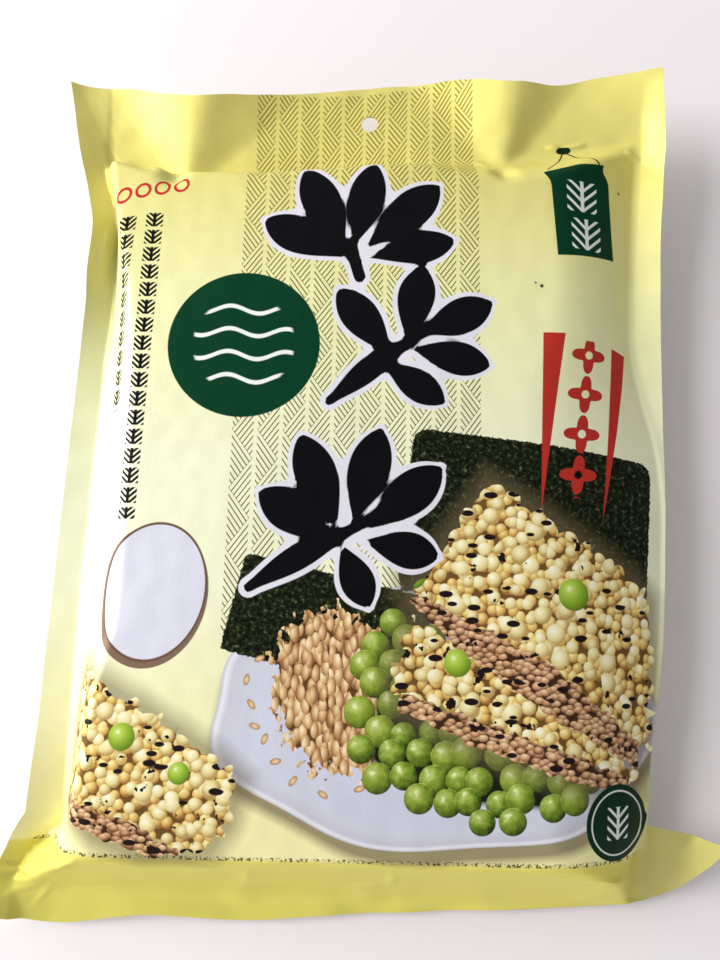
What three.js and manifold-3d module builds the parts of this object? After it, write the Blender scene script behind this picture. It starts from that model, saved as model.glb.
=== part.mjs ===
/*
 * A sealed snack bag of printed film, full and lying on its back, as one closed solid.
 *
 * Millimetres, +Z up. X runs across the bag and Y from its bottom seal to its header, the empty
 * flap with the hang hole. The bag is two heights over its outline as seen from above:
 *   front(x, y)  the shown side: a flat face held up by the contents, with a wall down each side,
 *                then the flaps of film that stand out beyond the feet of those walls
 *   back(x, y)   the side it lies on: flat on the ground, and turned up towards the same flaps
 * Each wall is a sloping plane. The lower of two planes wins on a ridge and the higher in a valley,
 * so that the creases lie where the planes meet, as in folded film.
 */
import * as THREE from 'three';
import { mergeVertices } from 'three/addons/utils/BufferGeometryUtils.js';
import Module from 'manifold-3d';

// ---- driving dimensions --------------------------------------------------------------------
const FACE_HEIGHT = 36;        // the shown face above the ground
const FACE_CROWN = 1.2;        // the face is lower by this at its left and right edges
const FILM = 0.8;              // thickness of a flap: both films and the air between them
const HALF_WIDTH = 95;         // where the crown of the face is measured

// Outline: the four corners of the bag, and its bottom and top edges as y over x.
const BOTTOM_LEFT = [-131, 2];
const BOTTOM_RIGHT = [129, 33];
const TOP_LEFT = [-124.5, 327];
const TOP_RIGHT = [119.7, 326.3];
const BOTTOM_EDGE = [[-131, 2], [-104, -3.4], [-70, 0.3], [-38, -1.3], [-7, 1.3], [22, 3], [56, 4.6],
  [92, 7.2], [106, 9], [113, 11.5], [117.4, 14.4], [121.2, 18.5], [123.6, 22.1], [126.3, 27], [129, 33]];
const TOP_EDGE = [[-124.5, 327], [-100, 325.5], [-84, 320.5], [-69, 318], [-53, 320.5], [-10, 325.5],
  [12, 327], [34, 324], [45, 323], [59, 325], [74, 326.5], [96, 327.3], [119.7, 326.3]];
// Heights of those two edges over x.
const BOTTOM_EDGE_HEIGHT = [[-131, 8], [-104, 2.6], [-70, 4.4], [-38, 2.4], [-7, 3.8], [5, 2.6], [22, 3.8],
  [36, 2.6], [56, 3.8], [90, 2.8], [106, 3.2], [113, 5], [121, 12], [126, 20.5], [129, 26]];
const TOP_EDGE_HEIGHT = [[-124.5, 20], [-117, 18.5], [-69, 20], [-31, 20.5], [12, 21.5], [50, 24],
  [75, 26], [96, 30], [119.7, 37]];
// A side flap flares out to each bottom corner: [reach, height above the corner, power].
const LEFT_FLARE = [18, 35, 0.95];
const RIGHT_FLARE = [24.4, 4.5, 1];
// Outer edges of the side seals, feet of the side walls and edges of the face above: x over y.
const LEFT_EDGE = [[0, -113], [44, -113], [107, -112.3], [204, -110.9], [243, -110.2], [256, -110.3],
  [279, -114.6], [297, -118.3], [327, -124.5]];
const LEFT_FOOT = [[10, -119], [16.5, -116], [23.6, -111.5], [29.7, -104.5], [36, -100.3], [44, -101],
  [110, -101], [204, -100.4], [255, -100.8], [271, -103], [286, -107.5], [300, -109]];
const LEFT_FOOT_HEIGHT = [[10, 8], [20, 9.5], [30, 11], [44, 13], [110, 14.5], [204, 14.5], [243, 13],
  [262, 13], [285, 15]];
const LEFT_CREASE = [[10, -110], [16.5, -107], [23.6, -102], [29.7, -95.5], [36, -91], [44, -90],
  [76, -88], [110, -83], [175, -83], [225, -85.5], [262, -90], [285, -97]];
const RIGHT_FOOT = [[25, 102], [40, 104.5], [63, 106.4], [97, 111.5], [134, 114.8], [152, 115.8],
  [172, 114.5], [192, 110], [212, 107], [255, 109], [293, 112]];
const RIGHT_FOOT_HEIGHT = [[10, 4], [25, 13], [45, 19], [97, 22], [192, 21], [233, 20], [255, 21], [290, 25],
  [310, 22]];
const RIGHT_CREASE = [[20, 82], [55, 86], [114, 89], [187, 87], [225, 90], [270, 92], [290, 98]];
const RIGHT_EDGE = [[40, 104.6], [63, 106.5], [97, 112], [134, 115.2], [172, 117.2], [212, 118.2],
  [255, 119.2], [293, 120.6], [326.3, 119.7]];
// How steeply the side seals rise outwards, and fall inwards under the walls.
const LEFT_FLAP_RISE = [[30, 0.5], [50, 0.3], [75, 0.1], [150, 0.15], [200, 0.2], [225, 0.3],
  [243, 0.5], [258, 0.35], [275, 0.3], [290, 0.4], [315, 0.2]];
const LEFT_FLAP_FALL = 1.5;
const RIGHT_FLAP_RISE = [[60, 0], [110, -0.4], [150, -0.2], [180, 0.05], [212, 0.25], [240, 0.5],
  [262, 0.65], [285, 0.7], [310, 0.2]];
const RIGHT_FLAP_FALL = 1;
// Top of the face, the valley behind it and the height of that valley, over x.
const TOP_CREASE = [[-98, 281], [-83, 277], [-44, 276.5], [-7, 280], [10, 281.5], [22, 281.5],
  [46, 278], [65, 278.5], [89, 284], [106, 289]];
const VALLEY = [[-118, 292], [-75, 287], [-20, 288], [30, 290], [75, 292], [112, 297], [121, 293]];
const VALLEY_HEIGHT = [[-118, 16], [-105, 14.5], [-75, 15], [-20, 17], [30, 22], [75, 24], [112, 27],
  [121, 33]];
const HEADER_FALL = 0.5;       // and below that valley the header drops away under the wall

// Bottom wall: a plane from its foot up to the ridge at the end of the face.
const BOTTOM_FOOT = { y: 9, z: 6.5 };
const BOTTOM_RIDGE = { y: 26, z: 31 };
const BOTTOM_ROLL = { drop: 4.5, y: 52, depth: 30 };    // the face dips before it meets the ridge
const BOTTOM_FLAP = { rise: 0.35, width: 12, fall: 0.55 };

// Corner facets, each a plane through three points: where the face folds down to a bottom corner.
const LEFT_CORNER = [[-92, 39, 32], [-88.7, 33.1, 33], [-113.6, 16.5, 12]];
const RIGHT_CORNER = [[86, 58, 34], [74, 27, 31.5], [119, 21, 13]];

// Rounding of the creases: the width over which two planes blend.
const ROUND = { left: 15, right: 17, top: 4, bottom: 3.5, corner: 4, valley: 5, seal: 2.5 };

// Cone folds of the header: each opens from an apex in the top crease to a crest in the top edge.
const CONE_FOLDS = [
  { apex: [-74, 277], crest: [-69, 320], rise: 0.13, left: 44, right: 55 },
  { apex: [55, 281], crest: [45, 320], rise: 0.21, left: 38, right: 38 },
];
const APEX_DENT = { depth: 4, radius: 4 };
// A pleat rolled up on the left shoulder, and the fold that sets off the header's left strip.
const PLEAT = { from: [-101, 288], to: [-78, 280], height: 2.6, radius: 2.4 };
const STRIP_FOLD = { from: [-106.8, 297.6], to: [-118.2, 320.1], rise: 0.3, width: 8 };

// Underside: where it leaves the ground, and how round it turns up from there.
const GROUND = { left: -84, right: 88, bottom: 38, top: 262 };
const BELLY_POWER = 1.6;
const BELLY_BLEND = 3;

// Hang hole through the header.
const HOLE = { x: 2.4, y: 310.4, diameter: 7, sides: 28 };

// Rows and columns of the mesh, as [end of the stretch, cells], closer where the film is creased.
const COLUMNS = [[0.14, 15], [0.83, 27], [1, 14]];
const ROWS = [[0.1, 11], [0.82, 17], [0.92, 16], [1, 7]];
const CORNER_ROWS = 0.1;       // share of the rows that pass each bottom corner
const LEFT_CORNER_TOP = 38;    // y where those rows end on the left
const RIGHT_CORNER_TOP = 45;   // and on the right

// ---- small maths ---------------------------------------------------------------------------
const lerp = THREE.MathUtils.lerp;

/** A curve through [position, value] stations that never overshoots them, level past its ends. */
function through(stations) {
  const last = stations.length - 1;
  const step = (k) => (stations[k + 1][1] - stations[k][1]) / (stations[k + 1][0] - stations[k][0]);
  const slopes = stations.map((_, k) => {
    if (k === 0 || k === last) return 0;
    const before = step(k - 1);
    const after = step(k);
    return before * after <= 0 ? 0 : (2 * before * after) / (before + after);
  });
  slopes[0] = step(0);
  slopes[last] = step(last - 1);
  return (position) => {
    if (position <= stations[0][0]) return stations[0][1];
    if (position >= stations[last][0]) return stations[last][1];
    const k = stations.findIndex((station) => station[0] > position) - 1;
    const width = stations[k + 1][0] - stations[k][0];
    const t = (position - stations[k][0]) / width;
    const a = t * t * (3 - 2 * t);
    const b = t * (1 - t) * (1 - t);
    const c = t * t * (t - 1);
    return lerp(stations[k][1], stations[k + 1][1], a) + width * (b * slopes[k] + c * slopes[k + 1]);
  };
}

/** The lower of two heights, rounded where they are closer than the given width. */
function ridge(a, b, width) {
  const near = Math.max(width - Math.abs(a - b), 0) / width;
  return Math.min(a, b) - (near * near * width) / 4;
}

/** The higher of two heights, rounded where they are closer than the given width. */
function valley(a, b, width) {
  return -ridge(-a, -b, width);
}

/** Height at (x, y) of the plane through three points. */
function planeThrough([a, b, c]) {
  const plane = new THREE.Plane().setFromCoplanarPoints(
    new THREE.Vector3(...a), new THREE.Vector3(...b), new THREE.Vector3(...c));
  const n = plane.normal;
  return (x, y) => -(plane.constant + n.x * x + n.y * y) / n.z;
}

const smooth = (t) => THREE.MathUtils.smoothstep(t, 0, 1);

// ---- the lines of the bag ------------------------------------------------------------------
const bottomEdge = through(BOTTOM_EDGE);
const topEdge = through(TOP_EDGE);
const bottomEdgeHeight = through(BOTTOM_EDGE_HEIGHT);
const topEdgeHeight = through(TOP_EDGE_HEIGHT);
const leftEdge = through(LEFT_EDGE);
const leftFoot = through(LEFT_FOOT);
const leftFootHeight = through(LEFT_FOOT_HEIGHT);
const leftCrease = through(LEFT_CREASE);
const rightFoot = through(RIGHT_FOOT);
const rightFootHeight = through(RIGHT_FOOT_HEIGHT);
const rightCrease = through(RIGHT_CREASE);
const rightEdge = through(RIGHT_EDGE);
const leftFlapRise = through(LEFT_FLAP_RISE);
const rightFlapRise = through(RIGHT_FLAP_RISE);
const topCrease = through(TOP_CREASE);
const valleyLine = through(VALLEY);
const valleyHeight = through(VALLEY_HEIGHT);
const leftCorner = planeThrough(LEFT_CORNER);
const rightCorner = planeThrough(RIGHT_CORNER);

/** How far a side flap flares out beside its bottom corner. */
function flare(y, cornerY, [reach, height, power]) {
  return reach * Math.max(0, 1 - (y - cornerY) / height) ** power;
}

// ---- the shown side ------------------------------------------------------------------------
function face(x, y) {
  const crown = FACE_CROWN * (x / HALF_WIDTH) ** 2;
  const roll = BOTTOM_ROLL.drop * smooth((BOTTOM_ROLL.y - y) / BOTTOM_ROLL.depth);
  return FACE_HEIGHT - crown - roll;
}

/** A side wall, from its foot up to the edge of the face. */
function sideWall(x, y, foot, footHeight, crease) {
  const climb = (x - foot(y)) / (crease(y) - foot(y));
  return lerp(footHeight(y), FACE_HEIGHT, climb);
}

function bottomWall(y) {
  return lerp(BOTTOM_FOOT.z, BOTTOM_RIDGE.z, (y - BOTTOM_FOOT.y) / (BOTTOM_RIDGE.y - BOTTOM_FOOT.y));
}

function topWall(x, y) {
  const climb = (valleyLine(x) - y) / (valleyLine(x) - topCrease(x));
  return lerp(valleyHeight(x), FACE_HEIGHT, climb);
}

/** Seal along the bottom: it rises a little from the edge, then ends under the wall. */
function bottomFlap(x, y) {
  const inside = y - bottomEdge(x);
  const beyond = Math.max(0, inside - BOTTOM_FLAP.width);
  return bottomEdgeHeight(x) + BOTTOM_FLAP.rise * inside - (BOTTOM_FLAP.rise + BOTTOM_FLAP.fall) * beyond;
}

/** A side seal: it rises outwards from the foot of its wall, and drops away under the wall. */
function sideFlap(beyond, footHeight, rise, fall) {
  return footHeight + (beyond > 0 ? rise : fall) * beyond;
}

/** A cone fold: straight crest from its apex, falling to nothing at an angle on either side. */
function coneFold(x, y, { apex, crest, rise, left, right }) {
  const along = Math.atan2(crest[0] - apex[0], crest[1] - apex[1]);
  const reach = Math.hypot(x - apex[0], y - apex[1]);
  const turn = Math.atan2(x - apex[0], y - apex[1]) - along;
  const spread = THREE.MathUtils.degToRad(turn < 0 ? left : right);
  return rise * reach * smooth(1 - Math.abs(turn) / spread);
}

function header(x, y) {
  const out = (y - valleyLine(x)) / (topEdge(x) - valleyLine(x));
  let z = lerp(valleyHeight(x), topEdgeHeight(x), out) - HEADER_FALL * Math.max(0, valleyLine(x) - y);
  for (const fold of CONE_FOLDS) z += coneFold(x, y, fold);
  const { from, to, rise, width } = STRIP_FOLD;
  const length = Math.hypot(to[0] - from[0], to[1] - from[1]);
  const beyond = ((to[0] - from[0]) * (y - from[1]) - (to[1] - from[1]) * (x - from[0])) / length;
  return z + rise * THREE.MathUtils.clamp(beyond, 0, width);
}

/** Dents at the cones' apexes, and the pleat: small reliefs on the shoulders of the face. */
function relief(x, y) {
  let z = 0;
  for (const { apex } of CONE_FOLDS) {
    const reach = Math.hypot(x - apex[0], y - apex[1] + 1);
    z -= APEX_DENT.depth * Math.exp(-((reach / APEX_DENT.radius) ** 2));
  }
  const { from, to, height, radius } = PLEAT;
  const run = [to[0] - from[0], to[1] - from[1]];
  const length = Math.hypot(...run);
  const along = ((x - from[0]) * run[0] + (y - from[1]) * run[1]) / length ** 2;
  const off = ((x - from[0]) * run[1] - (y - from[1]) * run[0]) / length;
  const ends = smooth(along * 4) * smooth((1 - along) * 4);
  return z + height * ends * Math.exp(-((off / radius) ** 2));
}

function front(x, y) {
  const left = sideFlap(leftFoot(y) - x, leftFootHeight(y), leftFlapRise(y), LEFT_FLAP_FALL);
  const right = sideFlap(x - rightFoot(y), rightFootHeight(y), rightFlapRise(y), RIGHT_FLAP_FALL);
  let z = face(x, y);
  z = ridge(z, sideWall(x, y, leftFoot, leftFootHeight, leftCrease), ROUND.left);
  z = ridge(z, sideWall(x, y, rightFoot, rightFootHeight, rightCrease), ROUND.right);
  z = ridge(z, leftCorner(x, y), ROUND.corner);
  z = ridge(z, rightCorner(x, y), ROUND.corner);
  z = ridge(z, bottomWall(y), ROUND.bottom);
  z = ridge(z, topWall(x, y), ROUND.top);
  z = valley(z, bottomFlap(x, y), ROUND.valley);
  z = valley(z, left, ROUND.seal);
  z = valley(z, right, ROUND.seal);
  z = valley(z, header(x, y), ROUND.valley);
  return z + relief(x, y);
}

// ---- the side it lies on -------------------------------------------------------------------
/** Underside of the full part: level ground, turned up towards the foot of each wall. */
function belly(x, y) {
  const turnUp = (t, height) => (height - FILM) * Math.max(0, t) ** BELLY_POWER;
  const sides = [
    turnUp((GROUND.left - x) / (GROUND.left - leftFoot(y)), leftFootHeight(y)),
    turnUp((x - GROUND.right) / (rightFoot(y) - GROUND.right), rightFootHeight(y)),
    turnUp((GROUND.bottom - y) / (GROUND.bottom - bottomEdge(x)), bottomEdgeHeight(x)),
    turnUp((y - GROUND.top) / (valleyLine(x) - GROUND.top), valleyHeight(x)),
  ];
  return sides.reduce((sum, side) => sum + side ** BELLY_BLEND, 0) ** (1 / BELLY_BLEND);
}

function back(x, y) {
  return Math.min(front(x, y) - FILM, belly(x, y));
}

// ---- the mesh ------------------------------------------------------------------------------
/** Positions from 0 to 1, evenly spaced within each stretch. */
function spread(stretches) {
  const positions = [0];
  let start = 0;
  for (const [end, cells] of stretches) {
    for (let k = 1; k <= cells; k += 1) positions.push(lerp(start, end, k / cells));
    start = end;
  }
  return positions;
}

/** y along a side of the outline: the first rows pass the corner, the others share the rest. */
function sideY(v, bottom, cornerTop, top) {
  if (v < CORNER_ROWS) return lerp(bottom, cornerTop, v / CORNER_ROWS);
  return lerp(cornerTop, top, (v - CORNER_ROWS) / (1 - CORNER_ROWS));
}

function leftOutline(v) {
  const y = sideY(v, BOTTOM_LEFT[1], LEFT_CORNER_TOP, TOP_LEFT[1]);
  return [leftEdge(y) - flare(y, BOTTOM_LEFT[1], LEFT_FLARE), y];
}

function rightOutline(v) {
  const y = sideY(v, BOTTOM_RIGHT[1], RIGHT_CORNER_TOP, TOP_RIGHT[1]);
  return [rightEdge(y) + flare(y, BOTTOM_RIGHT[1], RIGHT_FLARE), y];
}

function bottomOutline(u) {
  const x = lerp(BOTTOM_LEFT[0], BOTTOM_RIGHT[0], u);
  return [x, bottomEdge(x)];
}

function topOutline(u) {
  const x = lerp(TOP_LEFT[0], TOP_RIGHT[0], u);
  return [x, topEdge(x)];
}

/** A point inside the outline: the blend of its four edges, less that of its corners. */
function planPoint(u, v) {
  const edges = [bottomOutline(u), topOutline(u), leftOutline(v), rightOutline(v)];
  const corners = [bottomOutline(0), bottomOutline(1), topOutline(0), topOutline(1)];
  return [0, 1].map((axis) => {
    const [bottom, top, left, right] = edges.map((point) => point[axis]);
    const [bottomLeft, bottomRight, topLeft, topRight] = corners.map((point) => point[axis]);
    const blend = lerp(bottom, top, v) + lerp(left, right, u);
    return blend - lerp(lerp(bottomLeft, bottomRight, u), lerp(topLeft, topRight, u), v);
  });
}

/** Closed mesh of the bag: front and back sheets on one plan, joined by a rim all round. */
function bagGeometry() {
  const us = spread(COLUMNS);
  const vs = spread(ROWS);
  const across = us.length;
  const sheet = across * vs.length;
  const plan = vs.flatMap((v) => us.map((u) => planPoint(u, v)));
  const points = [
    ...plan.map(([x, y]) => new THREE.Vector3(x, y, front(x, y))),
    ...plan.map(([x, y]) => new THREE.Vector3(x, y, back(x, y))),
  ];
  const triangles = [];
  const at = (i, j, side) => side * sheet + j * across + i;

  /** Two triangles of a cell, cut along the diagonal that bridges the smaller step in height. */
  function cell(i, j, side) {
    const [a, b, c, d] = [at(i, j, side), at(i + 1, j, side), at(i + 1, j + 1, side), at(i, j + 1, side)];
    const first = Math.abs(points[a].z - points[c].z);
    const second = Math.abs(points[b].z - points[d].z);
    const pair = first < second ? [[a, b, c], [a, c, d]] : [[a, b, d], [b, c, d]];
    for (const [p, q, r] of pair) triangles.push(side === 0 ? [p, q, r] : [p, r, q]);
  }

  const flat = groundedCells(points, us, vs, at);
  for (let j = 0; j < vs.length - 1; j += 1) {
    for (let i = 0; i < across - 1; i += 1) {
      cell(i, j, 0);
      const grounded = i >= flat.left && i < flat.right && j >= flat.bottom && j < flat.top;
      if (!grounded) cell(i, j, 1);
    }
  }
  triangles.push(...groundTriangles(points, flat, at));

  const rim = loopAround({ left: 0, right: across - 1, bottom: 0, top: vs.length - 1 });
  rim.forEach(([i, j], k) => {
    const [nextI, nextJ] = rim[(k + 1) % rim.length];
    triangles.push([at(i, j, 1), at(nextI, nextJ, 1), at(nextI, nextJ, 0)]);
    triangles.push([at(i, j, 1), at(nextI, nextJ, 0), at(i, j, 0)]);
  });

  const geometry = new THREE.BufferGeometry().setFromPoints(points);
  geometry.setIndex(triangles.flat());
  return geometry;
}

/** The largest block of cells, found from the middle outwards, whose back lies on the ground. */
function groundedCells(points, us, vs, at) {
  const middle = { i: us.findIndex((u) => u > 0.5), j: vs.findIndex((v) => v > 0.5) };
  const onGround = (i, j) => points[at(i, j, 1)].z === 0;
  const flat = { left: middle.i, right: middle.i, bottom: middle.j, top: middle.j };
  const column = (i) => onGround(i, flat.bottom) && onGround(i, flat.top);
  const row = (j) => onGround(flat.left, j) && onGround(flat.right, j);
  while (column(flat.left - 1)) flat.left -= 1;
  while (column(flat.right + 1)) flat.right += 1;
  while (row(flat.bottom - 1)) flat.bottom -= 1;
  while (row(flat.top + 1)) flat.top += 1;
  return flat;
}

/** Grid positions once round a block, seen from above, anticlockwise. */
function loopAround({ left, right, bottom, top }) {
  const loop = [];
  for (let i = left; i < right; i += 1) loop.push([i, bottom]);
  for (let j = bottom; j < top; j += 1) loop.push([right, j]);
  for (let i = right; i > left; i -= 1) loop.push([i, top]);
  for (let j = top; j > bottom; j -= 1) loop.push([left, j]);
  return loop;
}

/** The flat ground under the bag as one polygon, which needs few triangles. */
function groundTriangles(points, flat, at) {
  const loop = loopAround(flat).map(([i, j]) => at(i, j, 1));
  const contour = loop.map((index) => new THREE.Vector2(points[index].x, points[index].y));
  return THREE.ShapeUtils.triangulateShape(contour, []).map(([a, b, c]) => {
    const area = THREE.ShapeUtils.area([contour[a], contour[b], contour[c]]);
    return area > 0 ? [loop[a], loop[c], loop[b]] : [loop[a], loop[b], loop[c]];
  });
}

// ---- cutting the hang hole -----------------------------------------------------------------
const wasm = await Module();
wasm.setup();

function toManifold(geometry) {
  const bare = geometry.clone();
  bare.deleteAttribute('normal');
  bare.deleteAttribute('uv');
  const merged = mergeVertices(bare);
  return new wasm.Manifold(new wasm.Mesh({
    numProp: 3,
    vertProperties: new Float32Array(merged.attributes.position.array),
    triVerts: new Uint32Array(merged.index.array),
  }));
}

function toGeometry(manifold) {
  const mesh = manifold.getMesh();
  const geometry = new THREE.BufferGeometry();
  geometry.setAttribute('position', new THREE.BufferAttribute(mesh.vertProperties, 3));
  geometry.setIndex(new THREE.BufferAttribute(mesh.triVerts, 1));
  geometry.computeVertexNormals();
  return geometry;
}

function holeCutter() {
  const radius = HOLE.diameter / 2;
  const cutter = new THREE.CylinderGeometry(radius, radius, FACE_HEIGHT * 2, HOLE.sides);
  cutter.rotateX(Math.PI / 2);
  cutter.translate(HOLE.x, HOLE.y, FACE_HEIGHT);
  return cutter;
}

// ---- the scene graph -----------------------------------------------------------------------
const filmMaterial = new THREE.MeshStandardMaterial({ color: 0xe6e29b, roughness: 0.35, metalness: 0.25 });

function snackBag() {
  const geometry = toGeometry(toManifold(bagGeometry()).subtract(toManifold(holeCutter())));
  const mesh = new THREE.Mesh(geometry, filmMaterial);
  mesh.name = 'snack_bag';
  geometry.computeBoundingBox();
  const centre = geometry.boundingBox.getCenter(new THREE.Vector3());
  mesh.position.set(-centre.x, -centre.y, -geometry.boundingBox.min.z);
  return mesh;
}

const bag = new THREE.Group();
bag.add(snackBag());

export default bag;
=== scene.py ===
"""A full snack bag of printed film, lying on its back on a pale table.

The bag's lines are in bag coordinates: millimetres, x across, y from the bottom seal up to the
header, z up from the table. Its print is in film coordinates: millimetres measured along the film,
as if it were laid flat, and equal to x and y in the middle of the face.
"""
import math

import bpy
import numpy as np
from bpy.props import FloatProperty, FloatVectorProperty, PointerProperty
from mathutils import Matrix, Vector


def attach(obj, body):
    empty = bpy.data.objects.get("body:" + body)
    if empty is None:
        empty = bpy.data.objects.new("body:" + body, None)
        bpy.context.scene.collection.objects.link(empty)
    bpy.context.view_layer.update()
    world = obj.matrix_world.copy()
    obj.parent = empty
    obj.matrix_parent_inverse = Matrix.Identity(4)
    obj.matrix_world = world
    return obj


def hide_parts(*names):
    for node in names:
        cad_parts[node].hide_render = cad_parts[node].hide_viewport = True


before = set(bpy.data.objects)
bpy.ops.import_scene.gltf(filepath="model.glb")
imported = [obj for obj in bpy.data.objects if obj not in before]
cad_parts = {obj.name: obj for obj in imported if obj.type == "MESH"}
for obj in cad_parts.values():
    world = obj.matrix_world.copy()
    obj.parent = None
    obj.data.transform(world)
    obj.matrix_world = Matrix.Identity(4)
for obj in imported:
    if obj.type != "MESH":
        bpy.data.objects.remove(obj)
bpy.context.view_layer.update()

bl_info = {
    "name": "Film snack bag",
    "version": (1, 0, 0),
    "blender": (4, 5, 0),
    "location": "3D View > Sidebar > Snack bag",
    "description": "Builds a full snack bag of printed film on a pale table",
    "category": "Add Mesh",
}

MILLIMETRE = 0.001
MIDDLE = (-1.0, 161.95)        # bag coordinates of the frame's origin

# ---- lines of the bag, in bag coordinates ---------------------------------------------------
FACE_CROWN = 1.2               # the face is lower by this at its left and right edges
HALF_WIDTH = 95.0
BOTTOM_LEFT = (-131, 2)
BOTTOM_RIGHT = (129, 33)
TOP_LEFT = (-124.5, 327)
TOP_RIGHT = (119.7, 326.3)
# The bottom and top edges, and their heights: y or z over x.
BOTTOM_EDGE = [(-131, 2), (-104, -3.4), (-70, 0.3), (-38, -1.3), (-7, 1.3), (22, 3), (56, 4.6),
               (92, 7.2), (106, 9), (113, 11.5), (117.4, 14.4), (121.2, 18.5), (123.6, 22.1),
               (126.3, 27), (129, 33)]
TOP_EDGE = [(-124.5, 327), (-100, 325.5), (-84, 320.5), (-69, 318), (-53, 320.5), (-10, 325.5),
            (12, 327.5), (34, 327.6), (46, 325.6), (61, 322.2), (76, 323.2), (96, 326.6), (119.7, 326.3)]
BOTTOM_EDGE_HEIGHT = [(-131, 8), (-104, 2.6), (-70, 4.4), (-38, 2.4), (-7, 3.8), (5, 2.6), (22, 3.8),
                      (36, 2.6), (56, 3.8), (90, 2.8), (106, 3.2), (113, 5), (121, 12), (126, 20.5),
                      (129, 26)]
TOP_EDGE_HEIGHT = [(-124.5, 20), (-117, 18.5), (-69, 20), (-31, 20.5), (12, 21.5), (50, 24), (75, 26),
                   (96, 30), (119.7, 37)]
# The side flaps flare out to the bottom corners: reach, height above the corner, power.
LEFT_FLARE = (18, 35, 0.95)
RIGHT_FLARE = (24.4, 4.5, 1.0)
# Outer edges of the side seals, feet of the side walls and edges of the face above: x over y.
LEFT_EDGE = [(0, -113), (44, -113), (107, -112.3), (204, -110.9), (243, -109.6), (256, -109.2),
             (279, -113.8), (297, -118.2), (327, -124.5)]
LEFT_FOOT = [(10, -119), (16.5, -116), (23.6, -111.5), (29.7, -104.5), (36, -100.3), (44, -101),
             (110, -101), (204, -100.4), (255, -100.8), (271, -103), (286, -107.5), (300, -109)]
LEFT_FOOT_HEIGHT = [(10, 8), (20, 9.5), (30, 11), (44, 13), (110, 14.5), (204, 14.5), (243, 13),
                    (262, 13), (285, 15)]
LEFT_CREASE = [(10, -110), (16.5, -107), (23.6, -102), (29.7, -95.5), (36, -91), (44, -90), (76, -88),
               (110, -83), (175, -83.5), (225, -88), (262, -95), (285, -99)]
RIGHT_FOOT = [(25, 102), (40, 104.5), (63, 106.4), (97, 111.5), (134, 114.8), (152, 115.8),
              (172, 114.5), (192, 110), (212, 107), (255, 109), (293, 112)]
RIGHT_FOOT_HEIGHT = [(10, 4), (25, 13), (45, 19), (97, 22), (192, 21), (233, 20), (255, 21),
                     (290, 25), (310, 22)]
RIGHT_CREASE = [(20, 82), (55, 86), (114, 89), (187, 87), (225, 90), (270, 92), (290, 98)]
RIGHT_EDGE = [(40, 104.6), (63, 106.5), (97, 112), (134, 115.2), (172, 117.2), (212, 118.2),
              (255, 119.2), (293, 120.6), (326.3, 119.7)]
# How steeply the side seals rise outwards, and fall inwards under the walls.
LEFT_FLAP_RISE = [(30, 0.5), (50, 0.3), (75, 0.1), (150, 0.15), (200, 0.2), (228, 0.5), (243, 0.95),
                  (256, 1.0), (268, 0.7), (280, 0.5), (293, 0.6), (315, 0.3)]
LEFT_FLAP_FALL = 1.5
RIGHT_FLAP_RISE = [(60, 0), (110, -0.4), (150, -0.2), (180, 0), (212, 0.15), (240, 0.35),
                   (262, 0.45), (285, 0.5), (310, 0.15)]
RIGHT_FLAP_FALL = 1.0
# The top of the face, the valley behind it and the height of that valley, over x.
TOP_CREASE = [(-98, 281), (-83, 277), (-44, 276.5), (-7, 280), (10, 281.5), (22, 281.5), (46, 278),
              (65, 278.5), (89, 284), (106, 289)]
VALLEY = [(-118, 292), (-75, 287), (-20, 288), (30, 290), (75, 292), (112, 297), (121, 293)]
VALLEY_HEIGHT = [(-118, 16), (-105, 14.5), (-75, 15), (-20, 17), (30, 22), (75, 24), (112, 27), (121, 33)]
HEADER_FALL = 0.5              # and below that valley the header drops away under the wall
# The bottom wall, the roll of the face above it and the seal below it.
BOTTOM_FOOT = (9, 6.5)
BOTTOM_RIDGE = (26, 31)
BOTTOM_ROLL = (4.5, 52, 30)    # drop, y where it starts, length
BOTTOM_FLAP = (0.35, 12, 0.55)
# Corner facets, each a plane through three points.
LEFT_CORNER = [(-92, 39, 32), (-88.7, 33.1, 33), (-113.6, 16.5, 12)]
RIGHT_CORNER = [(86, 58, 34), (74, 27, 31.5), (119, 21, 13)]
# Widths over which two planes blend.
ROUND_LEFT = 4.5
ROUND_RIGHT = 17.0
ROUND_TOP = 4.0
ROUND_BOTTOM = 1.8
ROUND_CORNER = 4.0
ROUND_VALLEY = 5.0
ROUND_SEAL = 2.5
# Cone folds of the header: apex, crest at the edge, rise, spread to the left and right in degrees.
CONE_FOLDS = [((-74, 277), (-69, 320), 0.15, 44, 42), ((56, 282), (61.5, 323), 0.2, 50, 31)]
APEX_DENT = (4.0, 4.0)
PLEAT = ((-104, 293), (-76, 277.5), 3.2, 1.9)
STRIP_FOLD = ((-106.8, 297.6), (-118.2, 320.1), 0.3, 8)
# Underside: where it leaves the table and how round it turns up.
GROUND_LEFT = -84.0
GROUND_RIGHT = 88.0
GROUND_BOTTOM = 38.0
GROUND_TOP = 262.0
BELLY_POWER = 1.6
BELLY_BLEND = 3.0
HOLE = (2.4, 310.4)

# Mesh: (end of the stretch, cells), closer where the film is creased.
COLUMNS = [(0.14, 40), (0.83, 110), (1.0, 50)]
ROWS = [(0.1, 38), (0.82, 122), (1.0, 78)]
CORNER_ROWS = 0.1
LEFT_CORNER_TOP = 38
RIGHT_CORNER_TOP = 45
HOLE_RING = 4                  # half the side of the square of cells that the hole takes out
HOLE_CALM = 9                  # and how far round it the mesh is drawn to a circle


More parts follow.
